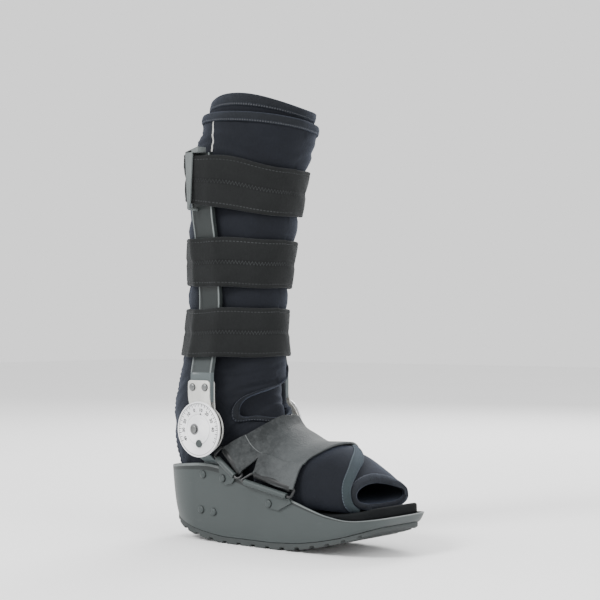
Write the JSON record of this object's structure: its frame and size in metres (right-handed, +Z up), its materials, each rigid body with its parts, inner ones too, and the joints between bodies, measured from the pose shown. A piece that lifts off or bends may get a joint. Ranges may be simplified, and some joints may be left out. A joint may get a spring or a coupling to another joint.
{
  "type": "medical walking boot",
  "caption": "Tall ankle brace boot: grey rocker shell, padded black two-layer liner with open toe, hinged side uprights with angle dials, leg straps and a grey foot strap in wire loops.",
  "frame": {"origin": "on the floor under the middle of the part's length and width", "axes": "+X from heel to toe, +Y to the wearer's left, +Z up"},
  "size_m": [0.294, 0.1492, 0.4619],
  "materials": {
    "shell": "moulded, satin",
    "outsole": "matte tread",
    "foam": "closed-cell foam",
    "liner": "brushed loop fabric over foam",
    "tape": "folded binding tape",
    "upright": "satin",
    "plate": "satin",
    "dial": "silver white",
    "wire": "black gloss",
    "foot_strap": "coated sheet",
    "leg_strap": "napped webbing"
  },
  "bodies": {
    "root": {"rivet_foot_plate_upper_right": "shell", "rivet_foot_plate_upper_left": "shell", "rivet_foot_plate_rear_right": "shell", "rivet_foot_plate_rear_left": "shell", "rivet_foot_plate_front_right": "shell", "rivet_foot_plate_front_left": "shell", "rivet_anchor_rear_right": "shell", "rivet_anchor_rear_left": "shell", "rivet_anchor_front_right": "shell", "rivet_anchor_front_left": "shell", "shell": "shell", "outsole": "outsole", "footbed": "foam", "liner_outer": "liner", "liner_inner": "liner", "liner_flap": "liner", "binding_flap": "tape", "binding_notch": "tape", "binding_top": "tape", "binding_collar": "tape", "rivet_hinge_rear_right": "plate", "rivet_hinge_rear_left": "plate", "rivet_hinge_front_right": "plate", "rivet_hinge_front_left": "plate", "upright_right": "upright", "upright_left": "upright", "hinge_plate_outer_right": "plate", "hinge_plate_outer_left": "plate", "hinge_plate_inner_right": "plate", "hinge_plate_inner_left": "plate", "hinge_foot_plate_right": "upright", "hinge_foot_plate_left": "upright", "hinge_dial_right": "dial", "hinge_dial_left": "dial", "hinge_pivot_right": "plate", "hinge_pivot_left": "plate", "hinge_stop_right": "shell", "hinge_stop_left": "shell", "strap_anchor_rear_right": "shell", "strap_anchor_rear_left": "shell", "wire_loop_rear_right": "wire", "wire_loop_rear_left": "wire", "strap_anchor_front_right": "shell", "strap_anchor_front_left": "shell", "wire_loop_front_right": "wire", "wire_loop_front_left": "wire", "foot_strap": "foot_strap", "strap_top": "leg_strap", "strap_middle": "leg_strap", "strap_lower": "leg_strap"}
  },
  "joints": []
}
